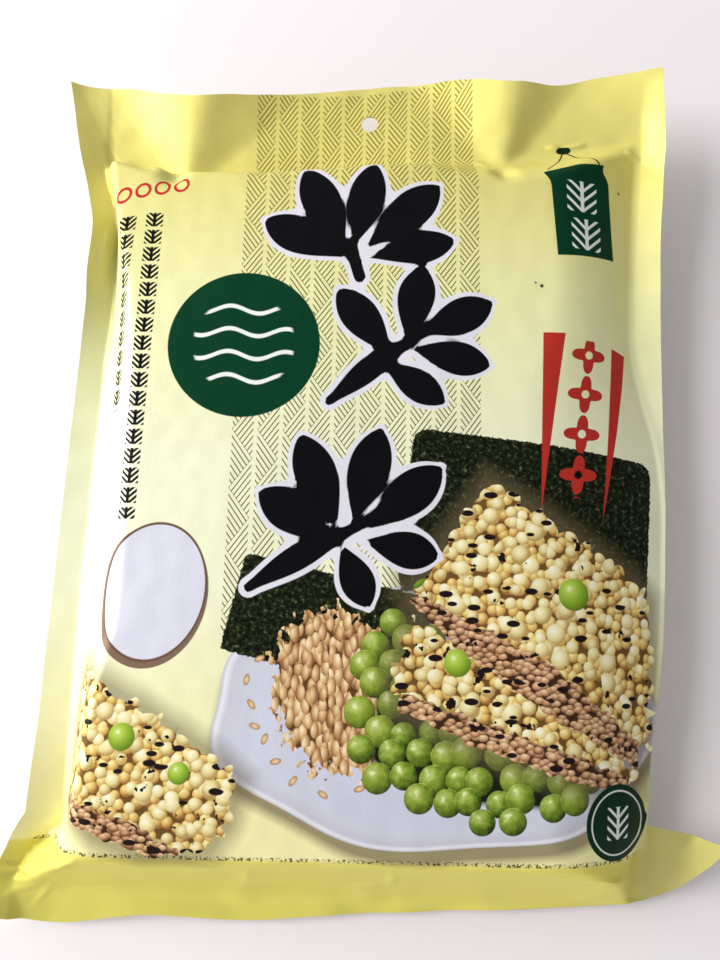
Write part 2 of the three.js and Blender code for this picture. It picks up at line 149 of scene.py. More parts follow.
# ---- small maths, on whole arrays -----------------------------------------------------------
def through(stations):
    """Curve through (position, value) stations, level past its ends.

    A cubic runs between each two stations, and its slope at a station is the harmonic mean of the
    chords on either side, or none where they differ in sign, so it never overshoots them.
    """
    at, value = np.array(stations, float).T
    width = np.diff(at)
    chord = np.diff(value) / width
    product = chord[:-1] * chord[1:]
    total = np.where(product > 0, chord[:-1] + chord[1:], 1)
    slope = np.concatenate(([chord[0]], np.where(product > 0, 2 * product / total, 0), [chord[-1]]))

    def curve(position):
        p = np.clip(position, at[0], at[-1])
        k = np.clip(np.searchsorted(at, p, side="right") - 1, 0, len(at) - 2)
        t = (p - at[k]) / width[k]
        blend = t * t * (3 - 2 * t)
        leave = width[k] * t * (1 - t) ** 2 * slope[k]
        arrive = width[k] * t * t * (t - 1) * slope[k + 1]
        return value[k] + (value[k + 1] - value[k]) * blend + leave + arrive

    return curve


def lerp(a, b, t):
    """The value a share t of the way from a to b."""
    return a + (b - a) * t


def smooth(t):
    """Rises from 0 to 1 as t does, level at both ends: 3 t squared less 2 t cubed."""
    t = np.clip(t, 0, 1)
    return t * t * (3 - 2 * t)


def ridge(a, b, width):
    """The lower of two heights, less a parabola of nearness where they are closer than width."""
    near = np.maximum(width - np.abs(a - b), 0) / width
    return np.minimum(a, b) - near * near * width / 4


def valley(a, b, width):
    """The higher of two heights, rounded in the same way."""
    return -ridge(-a, -b, width)


def plane_through(points, x, y):
    """Height at (x, y) of the plane through three points."""
    a, b, c = np.array(points, float)
    n = np.cross(b - a, c - a)
    return a[2] - (n[0] * (x - a[0]) + n[1] * (y - a[1])) / n[2]


bottom_edge = through(BOTTOM_EDGE)
top_edge = through(TOP_EDGE)
bottom_edge_height = through(BOTTOM_EDGE_HEIGHT)
top_edge_height = through(TOP_EDGE_HEIGHT)
left_edge = through(LEFT_EDGE)
left_foot = through(LEFT_FOOT)
left_foot_height = through(LEFT_FOOT_HEIGHT)
left_crease = through(LEFT_CREASE)
right_foot = through(RIGHT_FOOT)
right_foot_height = through(RIGHT_FOOT_HEIGHT)
right_crease = through(RIGHT_CREASE)
right_edge = through(RIGHT_EDGE)
left_flap_rise = through(LEFT_FLAP_RISE)
right_flap_rise = through(RIGHT_FLAP_RISE)
top_crease = through(TOP_CREASE)
valley_line = through(VALLEY)
valley_height = through(VALLEY_HEIGHT)


# ---- plan of the bag ------------------------------------------------------------------------
def spread(stretches):
    """Positions from 0 to 1, evenly spaced within each stretch."""
    parts = [np.zeros(1)]
    start = 0.0
    for end, cells in stretches:
        parts.append(lerp(start, end, np.arange(1, cells + 1) / cells))
        start = end
    return np.concatenate(parts)


def side_y(v, bottom, corner_top, top):
    """y along a side of the outline: the first rows pass the corner, the others share the rest."""
    low = lerp(bottom, corner_top, v / CORNER_ROWS)
    high = lerp(corner_top, top, (v - CORNER_ROWS) / (1 - CORNER_ROWS))
    return np.where(v < CORNER_ROWS, low, high)


def flare(y, corner_y, shape):
    """How far a side flap flares out: reach times a power of the nearness to the corner."""
    reach, height, power = shape
    return reach * np.maximum(0, 1 - (y - corner_y) / height) ** power


def plan(u, v):
    """x and y over the grid: the blend of the outline's four edges, less that of its corners."""
    bottom_x = lerp(BOTTOM_LEFT[0], BOTTOM_RIGHT[0], u)
    top_x = lerp(TOP_LEFT[0], TOP_RIGHT[0], u)
    left_y = side_y(v, BOTTOM_LEFT[1], LEFT_CORNER_TOP, TOP_LEFT[1])
    right_y = side_y(v, BOTTOM_RIGHT[1], RIGHT_CORNER_TOP, TOP_RIGHT[1])
    left_x = left_edge(left_y) - flare(left_y, BOTTOM_LEFT[1], LEFT_FLARE)
    right_x = right_edge(right_y) + flare(right_y, BOTTOM_RIGHT[1], RIGHT_FLARE)

    def blend(bottom, top, left, right, corners):
        low_left, low_right, high_left, high_right = corners
        edges = lerp(bottom, top, v) + lerp(left, right, u)
        return edges - lerp(lerp(low_left, low_right, u), lerp(high_left, high_right, u), v)

    corners = np.array([BOTTOM_LEFT, BOTTOM_RIGHT, TOP_LEFT, TOP_RIGHT], float).T
    x = blend(bottom_x, top_x, left_x, right_x, corners[0])
    y = blend(bottom_edge(bottom_x), top_edge(top_x), left_y, right_y, corners[1])
    return x, y


def draw_to_hole(x, y, radius):
    """Grid with the cells round the hang hole drawn to circles, and the hole's own cells.

    Square rings of cells about the vertex nearest the hole become circles: the ring at the hole's
    edge lies on it, and the pull fades out over the rings beyond.
    """
    centre = np.hypot(x - HOLE[0], y - HOLE[1]).argmin()
    row, column = np.unravel_index(centre, x.shape)
    up, across = np.indices(x.shape)
    up = up - row
    across = across - column
    ring = np.maximum(np.abs(up), np.abs(across))
    angle = np.arctan2(up, across)
    wide = np.abs(across) >= np.abs(up)
    with np.errstate(divide="ignore", invalid="ignore"):
        along = np.where(wide, up / np.abs(across), across / np.abs(up))
    along = np.nan_to_num(along) * math.pi / 4
    angle = np.where(wide, np.where(across > 0, along, math.pi - along),
                     np.where(up > 0, math.pi / 2 - along, along - math.pi / 2))
    size = radius * np.clip(ring / HOLE_RING, 0, 1) + np.maximum(ring - HOLE_RING, 0) * 0.95
    pull = smooth((HOLE_CALM - ring) / (HOLE_CALM - HOLE_RING))
    x = lerp(x, HOLE[0] + size * np.cos(angle), pull)
    y = lerp(y, HOLE[1] + size * np.sin(angle), pull)
    cells = np.maximum(ring[:-1, :-1], np.maximum(ring[1:, 1:], np.maximum(ring[:-1, 1:], ring[1:, :-1])))
    return x, y, cells <= HOLE_RING


# ---- the shown side -------------------------------------------------------------------------
def face(x, y, height):
    """A flat top, crowned as the square of x, that rolls down towards the bottom ridge."""
    drop, start, length = BOTTOM_ROLL
    return height - FACE_CROWN * (x / HALF_WIDTH) ** 2 - drop * smooth((start - y) / length)


def side_wall(x, y, height, foot, foot_height, crease):
    """A plane that climbs from its foot to the height of the face."""
    return lerp(foot_height(y), height, (x - foot(y)) / (crease(y) - foot(y)))


def bottom_flap(x, y):
    """The seal: it rises a little from the edge, then drops away under the bottom wall."""
    rise, width, fall = BOTTOM_FLAP
    inside = y - bottom_edge(x)
    return bottom_edge_height(x) + rise * inside - (rise + fall) * np.maximum(0, inside - width)


def side_flap(beyond, foot_height, rise, fall):
    """A side seal: it rises outwards from the foot of its wall, and drops away under the wall."""
    return foot_height + np.where(beyond > 0, rise, fall) * beyond


def cone_fold(x, y, apex, crest, rise, left, right):
    """A straight crest from its apex that falls to nothing at an angle on either side."""
    reach = np.hypot(x - apex[0], y - apex[1])
    turn = np.arctan2(x - apex[0], y - apex[1]) - math.atan2(crest[0] - apex[0], crest[1] - apex[1])
    width = np.radians(np.where(turn < 0, left, right))
    return rise * reach * smooth(1 - np.abs(turn) / width)


def header(x, y):
    """The empty flap: a straight climb from the valley to the edge, with its folds."""
    out = (y - valley_line(x)) / (top_edge(x) - valley_line(x))
    z = lerp(valley_height(x), top_edge_height(x), out) - HEADER_FALL * np.maximum(0, valley_line(x) - y)
    for fold in CONE_FOLDS:
        z = z + cone_fold(x, y, *fold)
    start, end, rise, width = STRIP_FOLD
    run = np.subtract(end, start)
    beyond = (run[0] * (y - start[1]) - run[1] * (x - start[0])) / math.hypot(*run)
    return z + rise * np.clip(beyond, 0, width)


def relief(x, y):
    """Dents where the cone folds start, and the pleat rolled up on the left shoulder."""
    depth, radius = APEX_DENT
    z = np.zeros_like(x)
    for apex, *_ in CONE_FOLDS:
        z -= depth * np.exp(-((x - apex[0]) ** 2 + (y - apex[1] + 1) ** 2) / radius ** 2)
    start, end, height, radius = PLEAT
    along, off = along_line(x, y, start, end)
    return z + height * smooth(4 * along) * smooth(4 * (1 - along)) * np.exp(-(off / radius) ** 2)


def along_line(x, y, start, end):
    """Share of the way along a line, and the distance to its right in its own direction."""
    run = np.subtract(end, start)
    length = math.hypot(*run)
    along = ((x - start[0]) * run[0] + (y - start[1]) * run[1]) / length ** 2
    return along, ((x - start[0]) * run[1] - (y - start[1]) * run[0]) / length


def front_height(x, y, height):
    """The lowest of the face and its walls, then the highest of that and the flaps about it."""
    top_wall_climb = (valley_line(x) - y) / (valley_line(x) - top_crease(x))
    bottom_climb = (y - BOTTOM_FOOT[0]) / (BOTTOM_RIDGE[0] - BOTTOM_FOOT[0])
    z = face(x, y, height)
    z = ridge(z, side_wall(x, y, height, left_foot, left_foot_height, left_crease), ROUND_LEFT)
    z = ridge(z, side_wall(x, y, height, right_foot, right_foot_height, right_crease), ROUND_RIGHT)
    z = ridge(z, plane_through(LEFT_CORNER, x, y), ROUND_CORNER)
    z = ridge(z, plane_through(RIGHT_CORNER, x, y), ROUND_CORNER)
    z = ridge(z, lerp(BOTTOM_FOOT[1], BOTTOM_RIDGE[1], bottom_climb), ROUND_BOTTOM)
    z = ridge(z, lerp(valley_height(x), height, top_wall_climb), ROUND_TOP)
    z = valley(z, bottom_flap(x, y), ROUND_VALLEY)
    left = side_flap(left_foot(y) - x, left_foot_height(y), left_flap_rise(y), LEFT_FLAP_FALL)
    right = side_flap(x - right_foot(y), right_foot_height(y), right_flap_rise(y), RIGHT_FLAP_FALL)
    z = valley(z, left, ROUND_SEAL)
    z = valley(z, right, ROUND_SEAL)
    z = valley(z, header(x, y), ROUND_VALLEY)
    return z + relief(x, y)


# ---- the side it lies on --------------------------------------------------------------------
def belly(x, y, gap):
    """Level on the table, and turned up as a power of the distance past it on each side."""
    def turn_up(t, height):
        return (height - gap) * np.maximum(0, t) ** BELLY_POWER

    sides = (
        turn_up((GROUND_LEFT - x) / (GROUND_LEFT - left_foot(y)), left_foot_height(y)),
        turn_up((x - GROUND_RIGHT) / (right_foot(y) - GROUND_RIGHT), right_foot_height(y)),
        turn_up((GROUND_BOTTOM - y) / (GROUND_BOTTOM - bottom_edge(x)), bottom_edge_height(x)),
        turn_up((y - GROUND_TOP) / (valley_line(x) - GROUND_TOP), valley_height(x)),
    )
    return sum(side ** BELLY_BLEND for side in sides) ** (1 / BELLY_BLEND)


# ---- small folds and waves of the film ------------------------------------------------------
# Roofs: start, end, height, width to the left and to the right of the line, in bag coordinates.
FOLDS = [
    # Left seal.
    ((-106.5, 241), (-104, 264), 1.3, 1.5, 5), ((-107.5, 243), (-104.3, 241.5), 0.6, 0.9, 0.9),
    ((-105.4, 247.6), (-102.2, 246.8), 0.6, 0.9, 0.9), ((-105.6, 36), (-104.4, 31), 0.7, 1.2, 2.2),
    ((-106, 30), (-103.5, 27.5), 0.6, 1.2, 2.0),
    # Bottom left corner: wrinkles that run out from its folded tip.
    ((-125, 19), (-104, 15), 0.9, 1.2, 2.2), ((-128, 12), (-105, 14.5), 0.8, 1.3, 2),
    ((-124, 6.5), (-105, 13.5), 0.7, 1.2, 2), ((-113, 2), (-103, 13), 0.6, 1.3, 2),
    ((-113, 12), (-99, 9.5), 0.8, 1.8, 2.4), ((-117, 16.5), (-109, 18.8), 1.0, 1.3, 2.2),
    ((-110, 16.5), (-92, 24), 0.9, 1.2, 2.6), ((-99, 21), (-88, 26), 0.8, 1.2, 1.8),
    # Bottom ridge, nipped in by the crease on it, and the seal.
    ((-98, 25), (-20, 26.6), -0.7, 0.9, 1.3), ((-40, 26.2), (66, 27.8), -0.7, 0.9, 1.3),
    ((-32, 24), (-34.5, 14), 0.7, 1.3, 3), ((16.5, 24.5), (16, 14), 0.7, 1.3, 3),
    ((-80, 3), (-80, 20), 0.6, 9, 9), ((-37, 2), (-37, 18), 0.7, 9, 9), ((7, 4), (6, 19), 0.7, 9, 9),
    ((49, 6), (48, 20), 0.7, 9, 9), ((89, 8), (88, 21), 0.6, 8, 8), ((58, 24.5), (104, 19), 0.8, 1.6, 1.6),
    # Right wall, and the crumples where it meets the header.
    ((102.8, 140), (103, 60), 0.5, 1.2, 1.2), ((75, 298.8), (81.5, 297), 1.0, 1.2, 2.2),
    ((81, 297), (92, 299), 0.8, 1.6, 2), ((106, 295.5), (113.5, 291.5), 0.9, 1.3, 2.2),
    ((112.8, 292), (119, 291.6), 0.5, 0.9, 1.6), ((44, 292), (52, 288), 0.8, 1.5, 2.5),
    ((-4, 291), (6, 288), 0.5, 2, 2),
]


def fold_relief(x, y):
    """Sum of straight roofs: full height on their line, falling evenly to nothing on each side."""
    z = np.zeros_like(x)
    for start, end, height, left, right in FOLDS:
        along, off = along_line(x, y, start, end)
        roof = smooth(1 - np.abs(off) / np.where(off < 0, left, right))
        z += height * roof * smooth(3 * along) * smooth(3 * (1 - along))
    return z


def waves(x, y, seed, count, longest, shortest):
    """Sum of seeded plane waves of unit slope between two wave lengths."""
    random = np.random.default_rng(seed)
    z = np.zeros_like(x)
    for turn, shift, share in random.random((count, 3)):
        length = lerp(longest, shortest, share)
        phase = (x * math.cos(turn * math.pi) + y * math.sin(turn * math.pi)) / length
        z += np.sin(2 * math.pi * (phase + shift)) * length / (2 * math.pi)
    return z / math.sqrt(count)


def film_relief(x, y, crinkle):
    """Slow waves all over the shown film, and shorter ones towards its seals."""
    slack = 1 - smooth((y - 20) / 30) * smooth((285 - y) / 16)
    slack = np.maximum(slack, 0.8 * smooth((np.abs(x) - 88) / 14))
    calm = np.clip(np.hypot(x - HOLE[0], y - HOLE[1]) / 12, 0, 1)
    z = 0.012 * waves(x, y, 3, 9, 70, 28)
    z = z + 0.035 * slack * waves(x, y, 5, 14, 22, 7)
    return crinkle * calm * (z + fold_relief(x, y))


# ---- film coordinates -----------------------------------------------------------------------
def lay_flat(x, y, z):
    """Distance along the film from the middle of the face, across it and up it.

    Along each row the steps in x and z are summed, and along each column the steps in y and z.
    """
    column = np.abs(x[len(x) // 2]).argmin()
    row = np.abs(y[:, column] - 150).argmin()
    across = np.hypot(np.diff(x, axis=1), np.diff(z, axis=1))
    up = np.hypot(np.diff(y, axis=0), np.diff(z, axis=0))
    s = np.zeros_like(x)
    t = np.zeros_like(x)
    s[:, 1:] = np.cumsum(across, axis=1)
    t[1:] = np.cumsum(up, axis=0)
    return s - s[:, column:column + 1] + x[:, column:column + 1], t - t[row:row + 1] + y[row:row + 1]


# ---- the print, in film coordinates ---------------------------------------------------------
def dab(s, t, start, end, width, lean=1.0):
    """Depth inside a brush dab: a line's half width, swelling as a sine along it, less the
    distance from the line. A lean above 1 puts the swelling nearer the end."""
    run = np.subtract(end, start)
    along = np.clip(((s - start[0]) * run[0] + (t - start[1]) * run[1]) / (run @ run), 0, 1)
    off = np.hypot(s - start[0] - along * run[0], t - start[1] - along * run[1])
    return width / 2 * np.sin(math.pi * along ** lean) ** 0.7 - off


def stroke(s, t, start, end, width):
    """Depth inside a round-ended line."""
    run = np.subtract(end, start)
    along = np.clip(((s - start[0]) * run[0] + (t - start[1]) * run[1]) / (run @ run), 0, 1)
    return width / 2 - np.hypot(s - start[0] - along * run[0], t - start[1] - along * run[1])


# Leaf dabs of the three sprays: start, end, width, lean.
SPRAY_DABS = [
    ((-5, 241), (-37, 256), 15, 1.5), ((-6, 245), (-22, 278), 15, 1.4), ((-2, 247), (5, 281), 14, 1.3),
    ((2, 245), (30, 272), 15, 1.5), ((3, 241), (36, 249), 13, 1.5),
    ((-8, 186), (16, 207), 9, 1.0), ((12, 203), (-8, 228), 14, 1.3), ((18, 209), (24, 238), 14, 1.3),
    ((24, 211), (50, 224), 14, 1.3), ((20, 205), (49, 199), 13, 1.4), ((10, 199), (32, 184), 12, 1.3),
    ((-34, 118), (-4, 136), 9, 1.0), ((-8, 134), (-34, 150), 15, 1.3), ((-6, 138), (-20, 171), 15, 1.3),
    ((0, 140), (9, 174), 15, 1.3), ((6, 138), (31, 160), 15, 1.3), ((4, 133), (30, 128), 13, 1.4),
    ((-4, 131), (6, 110), 12, 1.3),
]
SPRAY_STEMS = [((-4, 246), (0, 233), 4.5), ((-10, 184), (26, 213), 3.5), ((-36, 116), (8, 142), 3.5)]


def spray_depth(s, t):
    """Depth inside the dark sprays of leaves: dabs that run together, and their stems."""
    depth = np.full_like(s, -99.0)
    for start, end, width, lean in SPRAY_DABS:
        depth = valley(depth, dab(s, t, start, end, width, lean), 4.0)
    for start, end, width in SPRAY_STEMS:
        depth = valley(depth, stroke(s, t, start, end, width), 3.0)
    return depth


def dish_depth(s, t):
    """Depth inside the scalloped dish: an ellipse whose size waves seven times round it."""
    a = (s - 32) / 79
    b = (t - 74) / 43
    size = 1 + 0.03 * np.cos(7 * np.arctan2(b, a) + 0.6)
    return (size - np.hypot(a, b)) * 52


def box_depth(s, t, centre, half, turn, corner):
    """Depth inside a turned rectangle with rounded corners."""
    c, n = math.cos(turn), math.sin(turn)
    a = np.abs((s - centre[0]) * c + (t - centre[1]) * n) - half[0] + corner
    b = np.abs((t - centre[1]) * c - (s - centre[0]) * n) - half[1] + corner
    return corner - np.hypot(np.maximum(a, 0), np.maximum(b, 0)) - np.minimum(np.maximum(a, b), 0)


def sheet_depth(s, t):
    """Depth inside the two dark sheets behind the food."""
    first = box_depth(s, t, (64, 141), (46, 29), -0.10, 5)
    second = box_depth(s, t, (-8, 104), (34, 17), -0.22, 2)
    return np.maximum(first, second)


# Outlines of the crackers, their cut sides and the pile of round seeds, each anticlockwise.
CRACKER_TOPS = [
    [(20, 115.6), (102, 65), (108.8, 65), (109, 115), (100, 123), (55, 151), (48, 155)],
    [(15.7, 81.4), (98.6, 52), (103, 56), (71, 78), (36.7, 99), (21, 106), (14.9, 90)],
    [(-100, 46.9), (-56.3, 28.9), (-45.4, 29.8), (-39.3, 38.6), (-36.1, 52.9), (-45.2, 60.2),
     (-73.5, 77), (-95, 88), (-97.5, 86), (-99.8, 67.3)],
]
CRACKER_SIDES = [
    [(20.5, 111.5), (36.7, 97), (71, 73.5), (102.5, 56.5), (103, 65.2), (66.4, 93.3), (42.2, 105.5),
     (20, 115.6)],
    [(16.7, 76.3), (43.5, 64.5), (85.3, 51.5), (99, 52), (98, 55), (78.7, 61.5), (37.3, 77.5), (15.7, 82)],
    [(-102, 42), (-84, 34), (-67.7, 27), (-55, 27.5), (-56.3, 29.5), (-70.7, 37.5), (-100.5, 48)],
]
SEED_PILE = [(0, 61), (22, 45), (50, 40), (88, 48), (88, 62), (20, 106), (8, 106), (1, 90)]


def convex_depth(s, t, corners):
    """Depth inside a convex outline: the least distance from its sides."""
    depth = np.full_like(s, 99.0)
    for a, b in zip(corners, corners[1:] + corners[:1]):
        across = ((s - a[0]) * (a[1] - b[1]) + (t - a[1]) * (b[0] - a[0])) / math.dist(a, b)
        depth = np.minimum(depth, across)
    return depth


def deepest(s, t, outlines):
    """Depth inside the deepest of several convex outlines."""
    return np.maximum.reduce([convex_depth(s, t, corners) for corners in outlines])


def seed_places():
    """Centres and radii of the round seeds, from the back of the pile to its front.

    They stand in rows, each moved a little by seeded chance, where the pile's outline holds them and
    no cracker hides them.
    """
    random = np.random.default_rng(21)
    row, column = np.indices((10, 12)).reshape(2, -1)
    s = -4 + 8.9 * column + 4.45 * (row % 2) + random.uniform(-1.5, 1.5, row.size)
    t = 106 - 7.3 * row + random.uniform(-1.5, 1.5, row.size)
    radius = random.uniform(4.3, 5.3, row.size)
    kept = (convex_depth(s, t, SEED_PILE) > 0) & (deepest(s, t, CRACKER_TOPS + CRACKER_SIDES) < 3)
    return list(zip(s[kept], t[kept], radius[kept]))


# ---- meshes ---------------------------------------------------------------------------------
def grid_faces(rows, columns, missing):
    """Quads of a sheet of rows by columns vertices, but for the missing cells."""
    index = np.arange(rows * columns).reshape(rows, columns)
    quads = np.stack([index[:-1, :-1], index[:-1, 1:], index[1:, 1:], index[1:, :-1]], axis=-1)
    return quads[~missing]


def open_edges(quads, count):
    """Directed edges that only one quad has: the outline of the sheet and that of its hole."""
    edges = np.concatenate([quads[:, [k, (k + 1) % 4]] for k in range(4)])
    forward = edges[:, 0].astype(np.int64) * count + edges[:, 1]
    backward = edges[:, 1].astype(np.int64) * count + edges[:, 0]
    return edges[~np.isin(forward, backward)]


def mesh_from(name, points, quads):
    """New mesh from arrays of points in metres and of quads, without unused points."""
    used, quads = np.unique(quads, return_inverse=True)
    quads = quads.reshape(-1, 4)
    mesh = bpy.data.meshes.new(name)
    mesh.vertices.add(len(used))
    mesh.vertices.foreach_set("co", points[used].astype(np.float32).ravel())
    mesh.loops.add(quads.size)
    mesh.loops.foreach_set("vertex_index", quads.astype(np.int32).ravel())
    mesh.polygons.add(len(quads))
    mesh.polygons.foreach_set("loop_start", np.arange(0, quads.size, 4, dtype=np.int32))
    mesh.polygons.foreach_set("use_smooth", np.ones(len(quads), bool))
    mesh.update(calc_edges=True)
    return mesh, used


def set_values(mesh, name, values, kind="FLOAT"):
    """Named attribute with one value, or one vector, a vertex."""
    attribute = mesh.attributes.new(name, kind, "POINT")
    attribute.data.foreach_set("vector" if kind == "FLOAT_VECTOR" else "value",
                               np.asarray(values, np.float32).ravel())


def film_bag_mesh(sizes):
    """Closed mesh of the bag: front and back sheets on one plan, joined round edge and hole."""
    height = sizes.face_height / MILLIMETRE
    gap = sizes.film_gap / MILLIMETRE
    u, v = np.meshgrid(spread(COLUMNS), spread(ROWS))
    x, y = plan(u, v)
    x, y, missing = draw_to_hole(x, y, sizes.hole_diameter / MILLIMETRE / 2)
    base = front_height(x, y, height)
    front = base + film_relief(x, y, sizes.crinkle)
    back = np.minimum(front - gap, belly(x, y, gap))
    s, t = lay_flat(x, y, base)

    count = x.size
    quads = grid_faces(*x.shape, missing)
    rim = open_edges(quads, count)
    rim_quads = np.stack([rim[:, 1], rim[:, 0], rim[:, 0] + count, rim[:, 1] + count], axis=-1)
    back_quads = quads[:, ::-1] + count
    sheet = np.stack([x - MIDDLE[0], y - MIDDLE[1]], axis=-1).reshape(-1, 2)
    points = np.concatenate([np.column_stack([sheet, front.ravel()]), np.column_stack([sheet, back.ravel()])])
    mesh, used = mesh_from("film_bag", points * MILLIMETRE, np.concatenate([quads, back_quads, rim_quads]))

    shown = (used < count).astype(float)
    s = np.tile(s.ravel(), 2)[used]
    t = np.tile(t.ravel(), 2)[used]
    set_values(mesh, "film", np.column_stack([s, t, shown]), "FLOAT_VECTOR")
    set_values(mesh, "sprays", spray_depth(s, t))
    set_values(mesh, "dish", dish_depth(s, t))
    set_values(mesh, "dish_shade", dish_depth(s - 1.5, t + 4.5))
    set_values(mesh, "sheets", sheet_depth(s, t))
    set_values(mesh, "cracker_tops", deepest(s, t, CRACKER_TOPS))
    set_values(mesh, "cracker_sides", deepest(s, t, CRACKER_SIDES))
    mesh.set_sharp_from_angle(angle=math.radians(60))
    return mesh


# ---- materials ------------------------------------------------------------------------------
def ink(red, green, blue):
    """Linear colour of an 8-bit display colour."""
    share = np.array([red, green, blue]) / 255
    return tuple(np.where(share > 0.04045, ((share + 0.055) / 1.055) ** 2.4, share / 12.92))


class Wire:
    """A value, vector or colour on its way through a material's nodes."""

    def __init__(self, tree, socket=None):
        self.tree = tree
        self.socket = socket

    def node(self, kind, settings=None, inputs=None, output=0):
        """Adds a node, its settings first, then the values or links of its sockets."""
        node = self.tree.nodes.new(kind)
        for name, value in (settings or {}).items():
            if name == "stops":
                set_stops(node.color_ramp, value)
            else:
                setattr(node, name, value)
        for name, value in (inputs or {}).items():
            if isinstance(value, Wire):
                self.tree.links.new(value.socket, node.inputs[name])
            else:
                node.inputs[name].default_value = value
        return Wire(self.tree, node.outputs[output] if node.outputs else None)

    def math(self, operation, *values, clamp=False):
        settings = {"operation": operation, "use_clamp": clamp}
        return self.node("ShaderNodeMath", settings, dict(enumerate((self, *values))))

    def __add__(self, other):
        return self.math("ADD", other)

    def __sub__(self, other):
        return self.math("SUBTRACT", other)

    def __rsub__(self, other):
        return self.node("ShaderNodeMath", {"operation": "SUBTRACT"}, {0: other, 1: self})

    def __mul__(self, other):
        return self.math("MULTIPLY", other)

    def __truediv__(self, other):
        return self.math("DIVIDE", other)

    def __abs__(self):
        return self.math("ABSOLUTE")

    __radd__ = __add__
    __rmul__ = __mul__


def set_stops(ramp, stops):
    """Colour ramp with the given (position, colour) stops."""
    while len(ramp.elements) > 1:
        ramp.elements.remove(ramp.elements[0])
    ramp.elements[0].position = stops[0][0]
    ramp.elements[0].color = (*stops[0][1], 1)
    for position, colour in stops[1:]:
        ramp.elements.new(position).color = (*colour, 1)


def edge(depth, softness=0.25, start=0.0):
    """Mask of what lies deeper than a start, with an edge as wide as softness."""
    return depth.math("MULTIPLY_ADD", 1 / softness, 0.5 - start / softness, clamp=True)


def within(value, limit, softness=0.25):
    """Mask of where a value is under a limit, with an edge as wide as softness."""
    return value.math("MULTIPLY_ADD", -1 / softness, 0.5 + limit / softness, clamp=True)


def paint(under, mask, colour):
    """A colour laid over another where the mask is full."""
    wire = next(value for value in (mask, under, colour) if isinstance(value, Wire))
    under, colour = (value if isinstance(value, Wire) else (*value, 1) for value in (under, colour))
    return wire.node("ShaderNodeMix", {"data_type": "RGBA"}, {0: mask, 6: under, 7: colour}, 2)


def ramp(value, stops):
    """Colour of a value from 0 to 1 on a colour ramp."""
    return value.node("ShaderNodeValToRGB", {"stops": stops}, {0: value})


def levels(value, stops):
    """Number of a value from 0 to 1, as the grey of a colour ramp."""
    return ramp(value, [(position, (level,) * 3) for position, level in stops])


def length(a, b):
    """Length of the vector (a, b)."""
    return a.math("MULTIPLY_ADD", a, b * b).math("SQRT")


def repeat(value, span):
    """A value that starts anew at every span, from minus half a span to half a span."""
    return ((value / span).math("FRACT") - 0.5) * span


def away(point, place):
    """Distance of a point from a place."""
    return point.node("ShaderNodeVectorMath", {"operation": "DISTANCE"}, {0: point, 1: place}, 1)


def moved(point, shift):
    """A point moved by a vector."""
    return point.node("ShaderNodeVectorMath", {"operation": "ADD"}, {0: point, 1: shift})


class Film:
    """The film's coordinates as wires: s across it, t up it, and both as one vector.

    The place has a third part of 0. The laid vector's third part is 1 on the shown side and 0 on the
    other, so that a sum of s and t, each times a number, and of a constant is one product.
    """

    def __init__(self, tree):
        self.laid = Wire(tree).node("ShaderNodeAttribute", {"attribute_name": "film"}, {}, "Vector")
        parts = self.laid.node("ShaderNodeSeparateXYZ", {}, {0: self.laid}).socket.node
        self.s, self.t, self.shown = (Wire(tree, output) for output in parts.outputs)
        self.place = self.laid.node("ShaderNodeVectorMath", {"operation": "MULTIPLY"},
                                    {0: self.laid, 1: (1, 1, 0)})

    def depth(self, name):
        """Depth inside a shape that the mesh carries as an attribute."""
        return self.laid.node("ShaderNodeAttribute", {"attribute_name": name}, {}, "Fac")

    def noise(self, scale, detail, roughness=0.5):
        """Smooth noise over the film."""
        return self.place.node("ShaderNodeTexNoise", {"noise_dimensions": "2D"}, {
            "Vector": self.place, "Scale": scale, "Detail": detail, "Roughness": roughness})

    def sum(self, a, b, c):
        """a times s, and b times t, and c."""
        return self.laid.node("ShaderNodeVectorMath", {"operation": "DOT_PRODUCT"},
                              {0: self.laid, 1: (a, b, c)}, 1)

    def round(self, centre, radius, softness=0.25):
        """Mask of a circle."""
        return within(away(self.place, (*centre, 0)), radius, softness)

    def ellipse(self, centre, half, turn=0.0):
        """Depth inside a turned ellipse, in millimetres near its edge."""
        drawn = self.place.node("ShaderNodeMapping", {"vector_type": "TEXTURE"},
                                {"Vector": self.place, "Location": (*centre, 0),
                                 "Rotation": (0, 0, turn), "Scale": (*half, 1)})
        reach = drawn.node("ShaderNodeVectorMath", {"operation": "LENGTH"}, {0: drawn}, 1)
        return reach.math("MULTIPLY_ADD", -min(half), min(half))

    def convex(self, corners):
        """Depth inside a convex outline: the least distance from its sides, which run
        anticlockwise from corner to corner."""
        depth = None
        for a, b in zip(corners, corners[1:] + corners[:1]):
            n = np.array([a[1] - b[1], b[0] - a[0]]) / math.dist(a, b)
            side = self.sum(*n, -n @ a)
            depth = side if depth is None else depth.math("MINIMUM", side)
        return depth

    def line(self, start, end, half):
        """Mask of a straight line with a half width."""
        run = np.subtract(end, start) / math.dist(start, end)
        middle = np.add(start, end) / 2
        along = self.sum(*run, -run @ middle)
        off = self.sum(-run[1], run[0], run[1] * middle[0] - run[0] * middle[1])
        return within(abs(off), half) * within(abs(along), math.dist(start, end) / 2)


